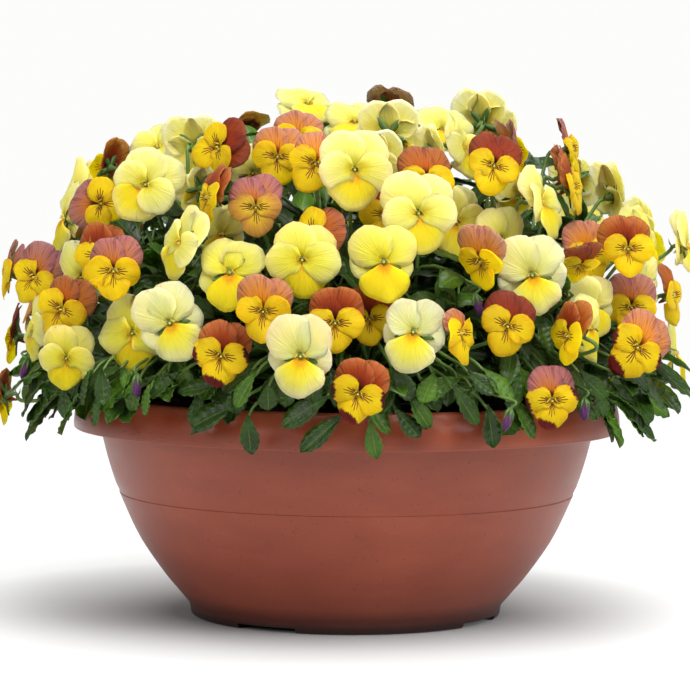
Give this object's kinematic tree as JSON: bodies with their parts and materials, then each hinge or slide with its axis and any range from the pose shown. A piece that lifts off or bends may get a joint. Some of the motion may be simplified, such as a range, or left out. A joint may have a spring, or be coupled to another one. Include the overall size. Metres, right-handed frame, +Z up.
{
  "type": "potted pansy planter",
  "caption": "Round plastic bowl planter with a turned-down collar, filled with soil and a full dome of pale and golden yellow pansies over scalloped leaves.",
  "frame": {"origin": "middle of the bowl's flat underside, on the surface that it stands on", "axes": "+Z up along the bowl's axis, -Y towards the front that the picture shows, +X to the right seen from the front"},
  "size_m": [0.3877, 0.3794, 0.2918],
  "materials": {
    "pot": "satin moulded terracotta-coloured plastic",
    "soil": "dark peat compost",
    "leaf": "soft green leaf with a grey sheen",
    "pale_petal": "velvety primrose-yellow petal",
    "golden_petal": "velvety golden petal with dark whiskers"
  },
  "bodies": {
    "root": {"pot": "pot", "soil": "soil", "pale_spray_0": "pale_petal", "pale_spray_1": "pale_petal", "golden_spray_2": "golden_petal", "pale_spray_3": "pale_petal", "pale_spray_4": "pale_petal", "golden_spray_5": "golden_petal", "golden_spray_6": "golden_petal", "pale_spray_7": "pale_petal", "pale_spray_8": "pale_petal", "pale_spray_9": "pale_petal", "golden_spray_10": "golden_petal", "golden_spray_11": "golden_petal", "pale_spray_12": "pale_petal", "golden_spray_13": "golden_petal", "golden_spray_14": "golden_petal", "golden_spray_15": "golden_petal", "pale_spray_16": "pale_petal", "pale_spray_17": "pale_petal", "pale_spray_18": "pale_petal", "pale_spray_19": "pale_petal", "golden_spray_20": "golden_petal", "golden_spray_21": "golden_petal", "golden_spray_22": "golden_petal", "golden_spray_23": "golden_petal", "pale_spray_24": "pale_petal", "pale_spray_25": "pale_petal", "pale_spray_26": "pale_petal", "pale_spray_27": "pale_petal", "golden_spray_28": "golden_petal", "golden_spray_29": "golden_petal", "golden_spray_30": "golden_petal", "golden_spray_31": "golden_petal", "golden_spray_32": "golden_petal", "pale_spray_33": "pale_petal", "pale_spray_34": "pale_petal", "pale_spray_35": "pale_petal", "pale_spray_36": "pale_petal", "golden_spray_37": "golden_petal", "golden_spray_38": "golden_petal", "golden_spray_39": "golden_petal", "golden_spray_40": "golden_petal", "golden_spray_41": "golden_petal", "leafy_plant_0": "leaf", "leafy_plant_1": "leaf", "leafy_plant_2": "leaf", "leafy_plant_3": "leaf", "leafy_plant_4": "leaf", "leafy_plant_5": "leaf", "leafy_plant_6": "leaf"}
  },
  "joints": []
}
